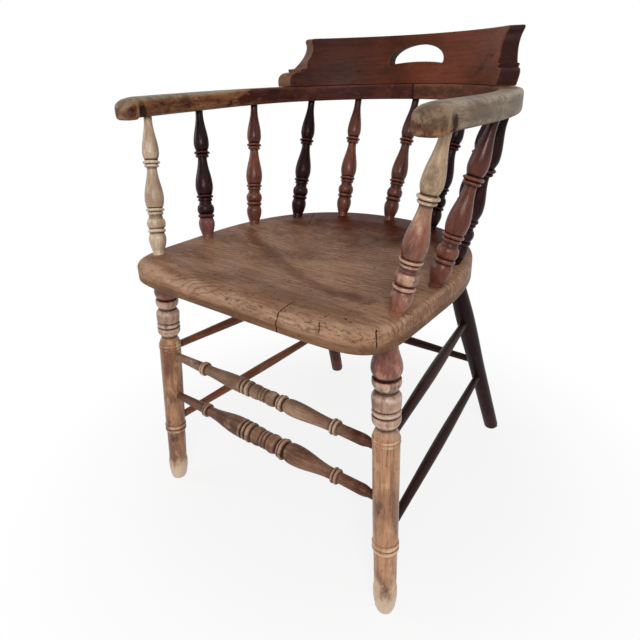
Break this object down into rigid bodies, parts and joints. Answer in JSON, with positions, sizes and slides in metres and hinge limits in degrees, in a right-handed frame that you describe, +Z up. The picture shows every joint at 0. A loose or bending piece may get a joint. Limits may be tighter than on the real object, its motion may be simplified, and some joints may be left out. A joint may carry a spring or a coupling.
{
  "type": "captain's chair",
  "caption": "Smoker's bow captain's chair: saddled plank seat, splayed turned legs with stretchers, turned spindles, arm bow with hand grips and a shaped crest with a hand hole.",
  "frame": {"origin": "on the floor, in the middle of the chair's box seen from above", "axes": "+Z up, the sitter faces -Y, +X to the right seen from the front, which is the sitter's left"},
  "size_m": [0.5658, 0.5586, 0.7863],
  "materials": {
    "seat_wood": "worn elm, satin",
    "arm_wood": "worn through the polish, dull",
    "crest_wood": "red-brown polish, satin",
    "front_leg_wood": "worn red-brown polish, satin",
    "back_leg_wood": "near-black old polish, satin",
    "pale_turning": "bleached, satin",
    "red_turning": "red-brown polish, semi-gloss",
    "dark_turning": "dark old polish, semi-gloss",
    "red_dowel": "red-brown polish, satin",
    "dark_dowel": "dark old polish, satin",
    "screw_steel": "dull"
  },
  "bodies": {
    "root": {"seat": "seat_wood", "left_arm": "arm_wood", "right_arm": "arm_wood", "crest": "crest_wood", "front_left_leg": "front_leg_wood", "front_right_leg": "front_leg_wood", "back_left_leg": "back_leg_wood", "back_right_leg": "back_leg_wood", "front_upper_stretcher": "pale_turning", "front_lower_stretcher": "red_turning", "left_upper_stretcher": "red_dowel", "left_lower_stretcher": "red_dowel", "right_upper_stretcher": "dark_dowel", "right_lower_stretcher": "dark_dowel", "back_stretcher": "dark_dowel", "centre_back_spindle": "red_turning", "left_back_spindle_1": "red_turning", "right_back_spindle_1": "dark_turning", "left_back_spindle_2": "dark_turning", "right_back_spindle_2": "dark_turning", "left_back_spindle_3": "red_turning", "right_back_spindle_3": "dark_turning", "left_arm_spindle_1": "dark_turning", "right_arm_spindle_1": "red_turning", "left_arm_spindle_2": "pale_turning", "right_arm_spindle_2": "red_turning", "left_crest_screw_1": "screw_steel", "left_crest_screw_2": "screw_steel", "right_crest_screw_1": "screw_steel", "right_crest_screw_2": "screw_steel"}
  },
  "joints": []
}
